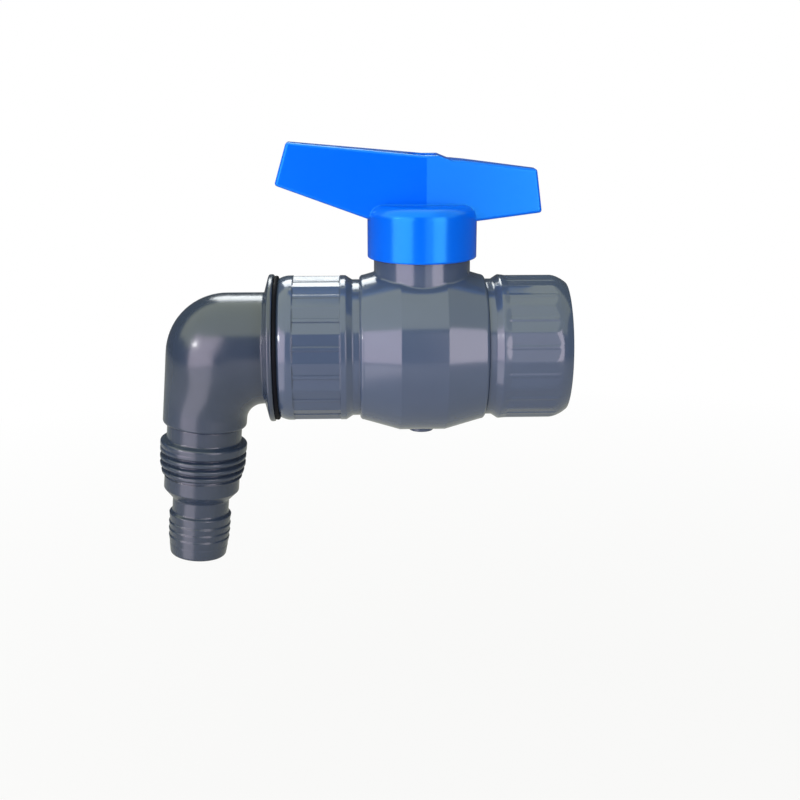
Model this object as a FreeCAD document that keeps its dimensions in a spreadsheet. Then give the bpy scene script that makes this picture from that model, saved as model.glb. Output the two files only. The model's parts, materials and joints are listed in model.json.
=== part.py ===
import FreeCAD, Part
import math
import os
import types

import Sketcher

# A quarter-turn plastic ball valve used as a tap. Water enters the threaded socket at the origin, runs
# along -X through the ball and the flanged elbow, and leaves down the outlet nipple. The stem and handle
# turn about Z. The pieces are drawn about the ball centre and then moved along -X.

SIZES = (
    # the two sockets and the housing between them
    ("inlet_reach", 44.2, "ball centre to the mouth of the inlet socket"),
    ("outlet_reach", 43.8, "ball centre to the mouth of the outlet socket"),
    ("socket_radius", 22.2, "outside of the sockets, over the grip flats"),
    ("socket_bore", 15.15, "inside of the socket at the thread's crests"),
    ("socket_depth", 20.5, "length of the socket's bore"),
    ("mouth_chamfer", 1.2, "lead-in of the socket's bore"),
    ("inlet_round", 10.0, "radius of the inlet socket's rounded end"),
    ("inlet_drop", 2.5, "how far that rounding falls at the mouth"),
    ("outlet_round", 6.5, "radius of the outlet socket's rounded end"),
    ("outlet_drop", 1.1, "how far that rounding falls at the mouth"),
    ("grip_count", 16, "shallow flats round each socket"),
    ("grip_start", 25.0, "ball centre to the inner end of the flats"),
    ("grip_length", 14.2, "length of the flats"),
    ("grip_rib_width", 1.2, "raised line along the middle of each flat"),
    ("grip_rib_height", 0.16, "how far that line stands proud of the flat"),
    ("groove_radius", 20.9, "bottom of the groove beside the housing"),
    ("groove_width", 2.2, "width of that groove"),
    ("bevel_length", 2.0, "slope from the groove up to the socket"),
    ("housing_half", 19.1, "ball centre to the groove"),
    ("band_radius", 25.45, "middle band of the housing"),
    ("band_width", 13.8, "width of the middle band"),
    ("cone_radius", 22.3, "small end of the housing's cones"),
    ("cone_round", 1.2, "rounding where a cone drops into the groove"),
    ("foot_radius", 3.7, "round pad under the housing"),
    ("foot_height", 0.95, "how far the pad stands proud"),
    ("passage_radius", 11.5, "water way through the valve"),
    # ball, seats and their seals
    ("ball_radius", 18.5, "outside of the ball"),
    ("chamber_radius", 19.0, "chamber that the ball turns in"),
    ("chamber_half", 11.2, "ball centre to the end of the chamber"),
    ("seat_gap", 0.15, "clearance between ball and seat"),
    ("seat_inner", 11.8, "inside radius of the seat ring"),
    ("seat_lip", 15.0, "outer edge of the seat's working face"),
    ("seat_outer", 15.6, "outside radius of the seat ring"),
    ("seat_back", 15.4, "ball centre to the back of the seat"),
    ("pocket_gap", 0.1, "clearance round the seat ring"),
    ("seat_cord", 1.4, "thickness of the seat's backing ring"),
    ("seat_ring_radius", 13.7, "middle radius of the backing ring"),
    ("thread_gap", 0.05, "clearance between screwed pieces"),
    ("cover_cord", 1.8, "thickness of the body seal"),
    ("cover_ring_start", 12.2, "ball centre to the body seal's groove"),
    ("cover_ring_width", 2.0, "width of the body seal's groove"),
    # neck, stem and stem seals
    ("neck_radius", 14.6, "outside of the neck"),
    ("neck_top", 33.8, "ball centre to the top of the neck"),
    ("neck_fillet", 0.8, "rounding where the neck meets the housing"),
    ("stem_radius", 6.95, "stem shaft"),
    ("stem_gap", 0.05, "running clearance of the stem"),
    ("collar_radius", 8.6, "collar that keeps the stem in"),
    ("collar_bottom", 19.0, "ball centre to the collar's underside"),
    ("collar_height", 2.4, "height of the collar"),
    ("collar_gap", 0.2, "clearance round the collar"),
    ("washer_height", 1.0, "thrust washer above the collar"),
    ("slot_floor", 13.9, "ball centre to the floor of the ball's slot"),
    ("key_width", 5.0, "width of the stem's driving key"),
    ("key_length", 12.0, "length of the driving key"),
    ("key_gap", 0.15, "clearance of the key in its slot"),
    ("gland_depth", 1.3, "depth of a stem seal's groove"),
    ("gland_width", 1.7, "width of a stem seal's groove"),
    ("lower_seal", 25.2, "ball centre to the lower stem seal"),
    ("upper_seal", 28.8, "ball centre to the upper stem seal"),
    ("square_side", 8.4, "square end that the handle sits on"),
    ("square_height", 10.0, "height of the square end"),
    ("square_gap", 0.1, "clearance of the handle on the square"),
    # quarter-turn stop
    ("turn_angle", 90.0, "travel of the handle"),
    ("lug_angle", 40.0, "width of the handle's stop lug"),
    ("stop_gap", 1.0, "angle left between the lug and its stops"),
    ("track_inner", 9.6, "inside of the lug's track"),
    ("track_outer", 12.6, "outside of the lug's track"),
    ("track_depth", 3.2, "depth of the track below the neck's top"),
    ("lug_gap", 0.3, "clearance of the lug in its track"),
    # handle
    ("skirt_radius", 16.5, "outside of the handle's skirt"),
    ("skirt_bottom", 28.0, "ball centre to the skirt's lower edge"),
    ("skirt_wall", 1.5, "thickness of the skirt"),
    ("skirt_round", 0.45, "rounding of the skirt's lower edge"),
    ("neck_clearance", 0.4, "space between the neck's top and the hub"),
    ("hub_radius", 9.0, "boss round the stem's square"),
    ("hub_roof", 42.5, "ball centre to the underside of the hub's roof"),
    ("shoulder_start", 40.6, "ball centre to the start of the shoulder"),
    ("shoulder_round", 3.6, "rounding of the hub's shoulder"),
    ("screw_seat", 46.0, "ball centre to the floor of the screw well"),
    ("well_radius", 4.3, "screw well in the handle's top"),
    ("wing_wall", 1.8, "wall of the hollow wings"),
    ("wing_round", 0.9, "rounding of the wings' edges"),
    ("rib_width", 1.4, "cross ribs under the wings"),
    ("long_outer_rib", 33.0, "stem axis to the long wing's outer rib"),
    ("long_inner_rib", 24.5, "stem axis to the long wing's inner rib"),
    ("short_rib", 25.5, "stem axis to the short wing's rib"),
    ("hub_half_width", 6.2, "half the handle's width at its middle"),
    ("tip_half_width", 3.0, "half the handle's width at its tips"),
    ("ridge_shift", 1.0, "where the widest line lies along the handle"),
    ("long_top", 40.4, "reach of the long wing at its top"),
    ("long_top_height", 62.4, "height of that corner"),
    ("long_bottom", 44.1, "reach of the long wing at its bottom"),
    ("long_bottom_height", 49.8, "height of that corner"),
    ("middle_height", 58.7, "height of the handle's top over the stem"),
    ("step_start", 4.4, "where the first step in the top begins"),
    ("step_end", 7.4, "where that step ends"),
    ("step_height", 57.5, "height of the top after the step"),
    ("slope_start", 12.2, "where the short wing's slope begins"),
    ("slope_height", 57.1, "height of the top there"),
    ("short_top", 34.1, "reach of the short wing at its top"),
    ("short_top_height", 54.4, "height of that corner"),
    ("short_bottom", 35.9, "reach of the short wing at its bottom"),
    ("short_bottom_height", 41.5, "height of that corner"),
    ("long_root_height", 40.0, "height of the long wing's underside at the skirt"),
    ("short_root_height", 39.2, "height of the short wing's underside at the skirt"),
    # handle screw, its washer and the plug over it
    ("screw_radius", 1.95, "shank of the handle screw"),
    ("screw_length", 14.0, "length of the shank"),
    ("screw_head_radius", 3.7, "head of the handle screw"),
    ("screw_head_height", 2.6, "height of the head"),
    ("screw_slot_length", 4.4, "cross slot in the head"),
    ("screw_slot_width", 1.0, "width of that slot"),
    ("screw_hole_gap", 0.25, "clearance hole round the shank"),
    ("flat_washer_height", 0.8, "washer under the head"),
    ("plug_height", 3.4, "plug in the top of the screw well"),
    ("plug_wall", 1.1, "roof and wall of the plug"),
    ("plug_top", 58.2, "ball centre to the plug's top"),
    ("plug_gap", 0.05, "clearance round the plug"),
    # gasket and elbow
    ("gasket_thickness", 1.2, "gasket between flange and socket"),
    ("gasket_radius", 22.2, "outside of the gasket"),
    ("flange_radius", 22.6, "outside of the elbow's flange"),
    ("flange_rim", 1.6, "thickness of the flange's rim"),
    ("flange_round", 0.6, "rounding of the rim"),
    ("flare_length", 1.7, "slope from the rim down to the arm"),
    ("spigot_length", 16.0, "threaded end inside the socket"),
    ("arm_radius", 17.1, "outside of the elbow's arm"),
    ("leg_radius", 13.0, "outside of the elbow's leg"),
    ("inner_bend", 5.9, "inside radius of the bend"),
    ("outer_bend", 19.0, "outside radius of the bend"),
    ("leg_offset", 65.5, "ball centre to the leg's axis"),
    ("outlet_lean", 5.0, "angle of the leg out of the vertical"),
    ("leg_length", 24.0, "arm axis to the end of the leg"),
    ("leg_round", 1.0, "rounding of the leg's end"),
    # outlet nipple, lengths from the arm's axis
    ("nipple_start", 11.0, "upper end of the nipple"),
    ("nipple_bore", 7.0, "water way in the nipple"),
    ("nipple_thread", 9.8, "thread that screws into the leg"),
    ("nipple_seal_start", 18.6, "start of the nipple seal's groove"),
    ("nipple_cord", 1.6, "thickness of the nipple seal"),
    ("collar_end", 28.8, "end of the plain collar"),
    ("nipple_collar", 11.6, "radius of the plain collar"),
    ("hose_thread", 13.3, "outside of the hose thread"),
    ("thread_lead", 1.0, "chamfer at the start of the hose thread"),
    ("thread_taper_start", 37.0, "where the hose thread starts to run out"),
    ("thread_end", 40.6, "end of the hose thread"),
    ("thread_end_radius", 12.4, "radius at the thread's run-out"),
    ("shoulder_radius", 11.7, "shoulder below the thread"),
    ("shoulder_end", 45.0, "end of the shoulder"),
    ("waist_start", 48.2, "start of the waist"),
    ("waist_radius", 8.85, "waist above the barbs"),
    ("barb_start", 53.0, "start of the barbs"),
    ("barb_count", 4, "rings of the hose barb"),
    ("barb_pitch", 2.6, "length of a barb"),
    ("barb_radius", 9.65, "outside of the hose barb"),
    ("barb_fall", 0.35, "fall of a barb along its length"),
    ("nose_end", 67.0, "lower end of the nipple"),
    ("nose_radius", 8.5, "radius at the lower end"),
    ("nose_round", 1.2, "rounding of the lower end"),
)

BEND_STEPS = 8
CUT_OVERRUN = 2.0
# A rounded corner's arc is drawn this much larger, because an exact quarter circle over-constrains it
QUARTER_SLACK = 1.02
# An edge of the wings is rounded only where it is this many rounding radii long
SHORTEST_ROUNDED = 8

document = FreeCAD.newDocument("tap")
sheet = document.addObject("Spreadsheet::Sheet", "Sizes")


class Size:
    """A size that carries its number and the spreadsheet expression that it comes from."""

    def __init__(self, number, text):
        self.number = number
        self.text = text

    def __add__(self, other):
        other = as_size(other)
        return Size(self.number + other.number, f"({self.text} + {other.text})")

    def __sub__(self, other):
        other = as_size(other)
        return Size(self.number - other.number, f"({self.text} - {other.text})")

    def __mul__(self, other):
        other = as_size(other)
        return Size(self.number * other.number, f"({self.text} * {other.text})")

    def __truediv__(self, other):
        other = as_size(other)
        return Size(self.number / other.number, f"({self.text} / {other.text})")

    def __radd__(self, other):
        return as_size(other) + self

    def __rsub__(self, other):
        return as_size(other) - self

    def __rmul__(self, other):
        return as_size(other) * self

    def __rtruediv__(self, other):
        return as_size(other) / self

    def __neg__(self):
        return 0 - self


def as_size(value):
    if isinstance(value, Size):
        return value
    return Size(float(value), f"({float(value)})")


def root(value):
    return Size(math.sqrt(value.number), f"sqrt({value.text})")


def sine(angle):
    angle = as_size(angle)
    return Size(math.sin(math.radians(angle.number)), f"sin({angle.text})")


def cosine(angle):
    angle = as_size(angle)
    return Size(math.cos(math.radians(angle.number)), f"cos({angle.text})")


def fill_sheet():
    """Writes every size into the sheet and returns them by name."""
    by_name = {}
    for row, (name, value, meaning) in enumerate(SIZES, start=1):
        sheet.set(f"A{row}", meaning)
        sheet.set(f"B{row}", str(value))
        sheet.setAlias(f"B{row}", name)
        by_name[name] = Size(float(value), f"Sizes.{name}")
    document.recompute()
    return types.SimpleNamespace(**by_name)


size = fill_sheet()


# Derived places that several pieces share

groove_end = size.housing_half + size.groove_width
bevel_end = groove_end + size.bevel_length
band_half = size.band_width / 2
pocket_radius = size.seat_outer + size.pocket_gap
backing_inner = size.seat_ring_radius - size.seat_cord / 2 - size.pocket_gap
backing_outer = size.seat_ring_radius + size.seat_cord / 2 + size.pocket_gap
backing_floor = size.seat_back + size.seat_cord
grip_depth = size.socket_radius * (1 - cosine(180 / size.grip_count))
stem_bore = size.stem_radius + size.stem_gap
collar_top = size.collar_bottom + size.collar_height
gland_floor = size.stem_radius - size.gland_depth
square_top = size.neck_top + size.square_height
hub_bottom = size.neck_top + size.neck_clearance
gasket_face = size.outlet_reach + size.gasket_thickness
arm_start = gasket_face + size.flange_rim + size.flare_length
cutter_width = 4 * size.hub_half_width


def quarter(radius):
    """The radius for a rounded right-angled corner's arc."""
    return radius * QUARTER_SLACK


def placed(item, x=0, z=0, turn=None, axis=(0, 1, 0)):
    """Places an object, with its position and angle bound to the sheet."""
    x = as_size(x)
    z = as_size(z)
    angle = as_size(0 if turn is None else turn)
    item.Placement = FreeCAD.Placement(
        FreeCAD.Vector(x.number, 0, z.number),
        FreeCAD.Rotation(FreeCAD.Vector(*axis), angle.number),
    )
    item.setExpression("Placement.Base.x", x.text)
    item.setExpression("Placement.Base.z", z.text)
    if turn is not None:
        item.setExpression("Placement.Rotation.Angle", angle.text)
    return item


def bind(item, **values):
    """Binds properties to the sheet."""
    for name, value in values.items():
        item.setExpression(name, as_size(value).text)
    return item


def origin_feature(body, role):
    return next(item for item in body.Origin.OriginFeatures if item.Role == role)


def arc_between(start, end, radius, turn):
    """The short arc from start to end: turn is 1 for an arc to the left and -1 for one to the right."""
    middle = (start + end) * 0.5
    chord = end - start
    rise = math.sqrt(max(radius**2 - chord.Length**2 / 4, 0))
    left = FreeCAD.Vector(-chord.y, chord.x, 0).normalize()
    centre = middle + left * rise * turn
    circle = Part.Circle(centre, FreeCAD.Vector(0, 0, 1), radius)
    first, last = (start, end) if turn > 0 else (end, start)
    return Part.Arc(circle, circle.parameter(first), circle.parameter(last))


def draw_outline(sketch, corners):
    """Draws a closed outline. A corner is (u, v), or (u, v, radius, turn) where an arc leads to it."""
    corners = [tuple(as_size(part) for part in corner[:3]) + corner[3:] for corner in corners]
    points = [FreeCAD.Vector(corner[0].number, corner[1].number, 0) for corner in corners]
    edges = []
    for index, corner in enumerate(corners):
        if len(corner) > 2:
            arc = arc_between(points[index - 1], points[index], corner[2].number, corner[3])
            edge = sketch.addGeometry(arc, False)
            ends = (1, 2) if corner[3] > 0 else (2, 1)
            dimension = sketch.addConstraint(Sketcher.Constraint("Radius", edge, corner[2].number))
            sketch.setExpression(f"Constraints[{dimension}]", corner[2].text)
        else:
            edge = sketch.addGeometry(Part.LineSegment(points[index - 1], points[index]), False)
            ends = (1, 2)
        edges.append((edge, *ends))
    for index, (edge, _, end) in enumerate(edges):
        following, start, _ = edges[(index + 1) % len(edges)]
        sketch.addConstraint(Sketcher.Constraint("Coincident", edge, end, following, start))
        for direction, place in zip(("DistanceX", "DistanceY"), corners[index]):
            dimension = sketch.addConstraint(
                Sketcher.Constraint(direction, -1, 1, edge, end, place.number)
            )
            sketch.setExpression(f"Constraints[{dimension}]", place.text)


def new_body(label):
    body = document.addObject("PartDesign::Body", label)
    body.Label = label
    return body


def body_sketch(body, name, plane, height=None):
    """An empty sketch on one of the body's own planes, or parallel to it at a height."""
    sketch = body.newObject("Sketcher::SketchObject", name)
    sketch.AttachmentSupport = [(origin_feature(body, plane), "")]
    sketch.MapMode = "FlatFace"
    if height is not None:
        sketch.setExpression("AttachmentOffset.Base.z", as_size(height).text)
    return sketch


def outline(body, name, plane, corners, height=None):
    sketch = body_sketch(body, name, plane, height)
    draw_outline(sketch, corners)
    return sketch


def disc(body, name, plane, radius, height=None):
    sketch = body_sketch(body, name, plane, height)
    sketch.addGeometry(Part.Circle(FreeCAD.Vector(), FreeCAD.Vector(0, 0, 1), radius.number), False)
    sketch.addConstraint(Sketcher.Constraint("Coincident", 0, 3, -1, 1))
    dimension = sketch.addConstraint(Sketcher.Constraint("Radius", 0, radius.number))
    sketch.setExpression(f"Constraints[{dimension}]", radius.text)
    return sketch


def rectangle(left, right, low, high):
    return [(left, low), (right, low), (right, high), (left, high)]


def feature(body, kind, name, profile, **values):
    """Adds a PartDesign feature. Numbers and sizes are bound, words and flags are set."""
    item = body.newObject(f"PartDesign::{kind}", name)
    item.Profile = profile
    for key, value in values.items():
        if isinstance(value, (str, bool, tuple)):
            setattr(item, key, value)
        else:
            item.setExpression(key, as_size(value).text)
    return item


def turned(label, corners, axis="H_Axis"):
    """A body turned about X from (x, r) corners, or about Z from (r, z) corners with the V axis."""
    body = new_body(label)
    plane = "XY_Plane" if axis == "H_Axis" else "XZ_Plane"
    sketch = outline(body, f"{label}_profile", plane, corners)
    feature(body, "Revolution", f"{label}_turning", sketch, ReferenceAxis=(sketch, [axis]), Angle=360)
    return body


def seal_ring(label, ring_radius, thickness):
    torus = document.addObject("Part::Torus", label)
    torus.Label = label
    return bind(torus, Radius1=ring_radius, Radius2=thickness / 2)


def cylinder(name, radius, length):
    return bind(document.addObject("Part::Cylinder", name), Radius=radius, Height=length)


def grip_sketch(body, name, corners):
    """An outline in the plane through the middle of the first flat, half a step from the top."""
    sketch = outline(body, f"{body.Label}_{name}", "XZ_Plane", corners)
    half_step = 180 / size.grip_count
    turn = FreeCAD.Rotation(FreeCAD.Vector(1, 0, 0), half_step.number)
    sketch.AttachmentOffset = FreeCAD.Placement(FreeCAD.Vector(), turn)
    sketch.setExpression("AttachmentOffset.Rotation.Angle", half_step.text)
    return sketch


def add_grips(body, side):
    """Shallow flats round a socket, each with a raised line, made once and repeated about the axis."""
    near = side * size.grip_start
    far = side * (size.grip_start + size.grip_length)
    left, right = (near, far) if side > 0 else (far, near)
    floor = size.socket_radius - grip_depth
    opening = grip_sketch(body, "grip", rectangle(left, right, floor, size.socket_radius + CUT_OVERRUN))
    flat = feature(
        body, "Pocket", f"{body.Label}_flat", opening, SideType="Symmetric", Length=size.socket_radius
    )
    corners = rectangle(left, right, floor - size.grip_rib_height, floor + size.grip_rib_height)
    line = grip_sketch(body, "grip_line", corners)
    rib = feature(
        body, "Pad", f"{body.Label}_rib", line, SideType="Symmetric", Length=size.grip_rib_width
    )
    pattern = body.newObject("PartDesign::PolarPattern", f"{body.Label}_flats")
    pattern.Originals = [flat, rib]
    pattern.Axis = (origin_feature(body, "X_Axis"), [""])
    pattern.Angle = 360
    bind(pattern, Occurrences=size.grip_count)
    body.Tip = pattern


def socket_end(side):
    """Reach, rounding and fall of a socket's end: the inlet's on side 1, the outlet's on side -1."""
    if side > 0:
        return size.inlet_reach, size.inlet_round, size.inlet_drop
    return size.outlet_reach, size.outlet_round, size.outlet_drop


def socket_outline(side):
    """Outer corners of a socket from the groove to the mouth, with its rounded end."""
    reach, rounding, drop = socket_end(side)
    run = root(2 * rounding * drop - drop * drop)
    return [
        (side * groove_end, size.groove_radius),
        (side * bevel_end, size.socket_radius),
        (side * (reach - run), size.socket_radius),
        (side * reach, size.socket_radius - drop, rounding, -side),
    ]


def bore_outline(side):
    """Inner corners from the socket's mouth to the seat's pocket, with the backing ring's groove."""
    reach = socket_end(side)[0]
    floor = reach - size.socket_depth
    return [
        (side * reach, size.socket_bore + size.mouth_chamfer),
        (side * (reach - size.mouth_chamfer), size.socket_bore),
        (side * floor, size.socket_bore),
        (side * floor, size.passage_radius),
        (side * size.seat_back, size.passage_radius),
        (side * size.seat_back, backing_inner),
        (side * backing_floor, backing_inner),
        (side * backing_floor, backing_outer),
        (side * size.seat_back, backing_outer),
        (side * size.seat_back, pocket_radius),
        (side * size.chamber_half, pocket_radius),
    ]


def reverse_outline(corners):
    """The same corners in the other order, with each arc moved to the corner that it then leads to."""
    arcs = [corner[2:] for corner in corners]
    order = range(len(corners) - 1, -1, -1)
    turned_back = []
    for index in order:
        arc = arcs[index + 1] if index + 1 < len(corners) else ()
        if arc:
            arc = (arc[0], -arc[1])
        turned_back.append(corners[index][:2] + arc)
    return turned_back


def housing_outline(side):
    """Outer corners of half the housing, from the middle band to the groove."""
    cone_foot = size.cone_radius - size.cone_round
    return [
        (side * band_half, size.band_radius),
        (side * (size.housing_half - size.cone_round), size.cone_radius),
        (side * size.housing_half, cone_foot, quarter(size.cone_round), -side),
    ]


def polar(radius, angle):
    return (radius * cosine(angle), radius * sine(angle))


def is_neck_joint(edge):
    """True for the edges where the neck's wall rises out of the housing."""
    points = edge.discretize(5)
    on_wall = all(abs(math.hypot(point.x, point.y) - size.neck_radius.number) < 0.01 for point in points)
    return on_wall and 0 < min(point.z for point in points) < size.band_radius.number


def build_valve_body():
    groove = [(-size.housing_half, size.groove_radius)]
    left_side = reverse_outline(housing_outline(-1) + groove + socket_outline(-1))
    outer = [(-size.outlet_reach, 0)] + left_side + housing_outline(1) + [(size.housing_half, 0)]
    body = turned("valve_body", outer)
    neck_circle = disc(body, "neck_circle", "XY_Plane", size.neck_radius)
    neck = feature(body, "Pad", "neck", neck_circle, Length=size.neck_top)
    document.recompute()
    joints = [f"Edge{index}" for index, edge in enumerate(neck.Shape.Edges, start=1) if is_neck_joint(edge)]
    fillet = body.newObject("PartDesign::Fillet", "neck_fillet")
    fillet.Base = (neck, joints)
    bind(fillet, Radius=size.neck_fillet)
    foot = disc(body, "foot_circle", "XY_Plane", size.foot_radius)
    feature(body, "Pad", "foot", foot, Length=size.band_radius + size.foot_height, Reversed=True)
    inner = (
        [(size.housing_half, 0), (-size.outlet_reach, 0)]
        + bore_outline(-1)
        + [(-size.chamber_half, size.chamber_radius), (size.housing_half, size.chamber_radius)]
    )
    water_way = outline(body, "water_way", "XY_Plane", inner)
    feature(body, "Groove", "chamber", water_way, ReferenceAxis=(water_way, ["H_Axis"]), Angle=360)
    washer_top = collar_top + size.washer_height
    recess = disc(body, "collar_circle", "XY_Plane", size.collar_radius + size.collar_gap, washer_top)
    feature(body, "Pocket", "collar_recess", recess, Length=washer_top)
    stem_hole = disc(body, "stem_circle", "XY_Plane", stem_bore, size.neck_top)
    feature(body, "Pocket", "stem_bore", stem_hole, Length=size.neck_top)
    half_lug = size.lug_angle / 2
    first = 90 - size.turn_angle - half_lug - size.stop_gap
    last = 90 + half_lug + size.stop_gap
    track = body_sketch(body, "track_sector", "XY_Plane", size.neck_top)
    draw_sector(track, size.track_inner, size.track_outer, first, last)
    feature(body, "Pocket", "stop_track", track, Length=size.track_depth)
    add_grips(body, -1)
    return placed(body, -size.inlet_reach)


def draw_sector(sketch, inner, outer, first, last):
    """A ring's sector between two angles in degrees from X."""
    corners = [
        polar(outer, first),
        polar(outer, last) + (outer, 1),
        polar(inner, last),
        polar(inner, first) + (inner, -1),
    ]
    draw_outline(sketch, corners)


def build_inlet_end():
    spigot = size.chamber_radius - size.thread_gap
    seal_floor = size.chamber_radius - size.cover_cord
    seal_end = size.cover_ring_start + size.cover_ring_width
    outer = [
        (size.chamber_half, spigot),
        (size.cover_ring_start, spigot),
        (size.cover_ring_start, seal_floor),
        (seal_end, seal_floor),
        (seal_end, spigot),
        (size.housing_half, spigot),
        (size.housing_half, size.groove_radius),
    ]
    body = turned("inlet_end", outer + socket_outline(1) + bore_outline(1))
    add_grips(body, 1)
    return placed(body, -size.inlet_reach)


def build_body_seal():
    thickness = size.cover_cord - size.thread_gap
    ring = seal_ring("body_o_ring", size.chamber_radius - size.cover_cord / 2, thickness)
    middle = size.cover_ring_start + size.cover_ring_width / 2
    return placed(ring, middle - size.inlet_reach, 0, 90)


def build_ball():
    half = root(size.ball_radius * size.ball_radius - size.passage_radius * size.passage_radius)
    corners = [(half, size.passage_radius), (-half, size.passage_radius, size.ball_radius, 1)]
    body = turned("ball", corners)
    half_slot = size.key_width / 2 + size.key_gap
    corners = rectangle(-half_slot, half_slot, -size.ball_radius, size.ball_radius)
    slot = outline(body, "slot_outline", "XY_Plane", corners, size.ball_radius)
    feature(body, "Pocket", "slot", slot, Length=size.ball_radius - size.slot_floor)
    return placed(body, -size.inlet_reach)


def build_seat(label, side):
    face = size.ball_radius + size.seat_gap
    inner_x = root(face * face - size.seat_inner * size.seat_inner)
    outer_x = root(face * face - size.seat_lip * size.seat_lip)
    corners = [
        (size.seat_back, size.seat_inner),
        (size.seat_back, size.seat_outer),
        (outer_x, size.seat_outer),
        (outer_x, size.seat_lip),
        (inner_x, size.seat_inner, face, -1),
    ]
    body = turned(label, corners)
    return placed(body, -size.inlet_reach, 0, 90 - 90 * side, (0, 0, 1))


def build_backing_ring(label, side):
    ring = seal_ring(label, size.seat_ring_radius, size.seat_cord)
    middle = side * (size.seat_back + size.seat_cord / 2)
    return placed(ring, middle - size.inlet_reach, 0, 90)


def build_stem():
    lower = size.lower_seal
    upper = size.upper_seal
    half_gland = size.gland_width / 2
    corners = [
        (0, size.collar_bottom),
        (size.collar_radius, size.collar_bottom),
        (size.collar_radius, collar_top),
        (size.stem_radius, collar_top),
    ]
    for middle in (lower, upper):
        corners += [
            (size.stem_radius, middle - half_gland),
            (gland_floor, middle - half_gland),
            (gland_floor, middle + half_gland),
            (size.stem_radius, middle + half_gland),
        ]
    corners += [(size.stem_radius, size.neck_top), (0, size.neck_top)]
    body = turned("stem", corners, "V_Axis")
    half_width = size.key_width / 2
    half_length = size.key_length / 2
    corners = rectangle(-half_width, half_width, -half_length, half_length)
    key = outline(body, "key_outline", "XY_Plane", corners, size.collar_bottom)
    key_height = size.collar_bottom - size.slot_floor - size.key_gap
    feature(body, "Pad", "key", key, Length=key_height, Reversed=True)
    half_side = size.square_side / 2
    corners = rectangle(-half_side, half_side, -half_side, half_side)
    square = outline(body, "square_outline", "XY_Plane", corners, size.neck_top)
    feature(body, "Pad", "square", square, Length=size.square_height)
    pilot = disc(body, "pilot_circle", "XY_Plane", size.screw_radius, square_top)
    pilot_depth = size.screw_length - (size.screw_seat - square_top) + size.screw_hole_gap
    feature(body, "Pocket", "pilot_hole", pilot, Length=pilot_depth)
    return placed(body, -size.inlet_reach)


def build_stem_seal(label, height):
    ring = seal_ring(label, (gland_floor + size.stem_radius) / 2, size.gland_depth)
    return placed(ring, -size.inlet_reach, height)


def build_stem_washer():
    corners = rectangle(stem_bore, size.collar_radius, collar_top, collar_top + size.washer_height)
    return placed(turned("stem_washer", corners, "V_Axis"), -size.inlet_reach)


def flat_sketch(name, corners, upright=False):
    """A free sketch in the XY plane, or in the XZ plane when upright."""
    sketch = document.addObject("Sketcher::SketchObject", name)
    if upright:
        turn = FreeCAD.Rotation(FreeCAD.Vector(1, 0, 0), 90)
        sketch.Placement = FreeCAD.Placement(FreeCAD.Vector(), turn)
    draw_outline(sketch, corners)
    return sketch


def extruded(name, sketch, length, symmetric):
    item = document.addObject("Part::Extrusion", name)
    item.Base = sketch
    item.DirMode = "Normal"
    item.Symmetric = symmetric
    item.Solid = True
    return bind(item, LengthFwd=length)


def common(name, first, second):
    item = document.addObject("Part::Common", name)
    item.Base = first
    item.Tool = second
    return item


def fused(name, items):
    item = document.addObject("Part::MultiFuse", name)
    item.Shapes = items
    item.Refine = True
    return item


def cut(name, base, tool):
    item = document.addObject("Part::Cut", name)
    item.Base = base
    item.Tool = tool
    item.Refine = True
    return item


def wing_plan(name, inset):
    """The handle seen from above: two wings that thin towards their tips."""
    ridge = size.ridge_shift
    hub = size.hub_half_width - inset
    tip = size.tip_half_width - inset
    corners = [
        (ridge, -hub),
        (size.short_bottom - inset, -tip),
        (size.short_bottom - inset, tip),
        (ridge, hub),
        (-size.long_bottom + inset, tip),
        (-size.long_bottom + inset, -tip),
    ]
    return extruded(name, flat_sketch(f"{name}_outline", corners), size.long_top_height + CUT_OVERRUN, False)


def top_line(start, end, x):
    """Height of the straight top edge between two corners at a place x."""
    share = (x - start[0]) / (end[0] - start[0])
    return start[1] + (end[1] - start[1]) * share


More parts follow.
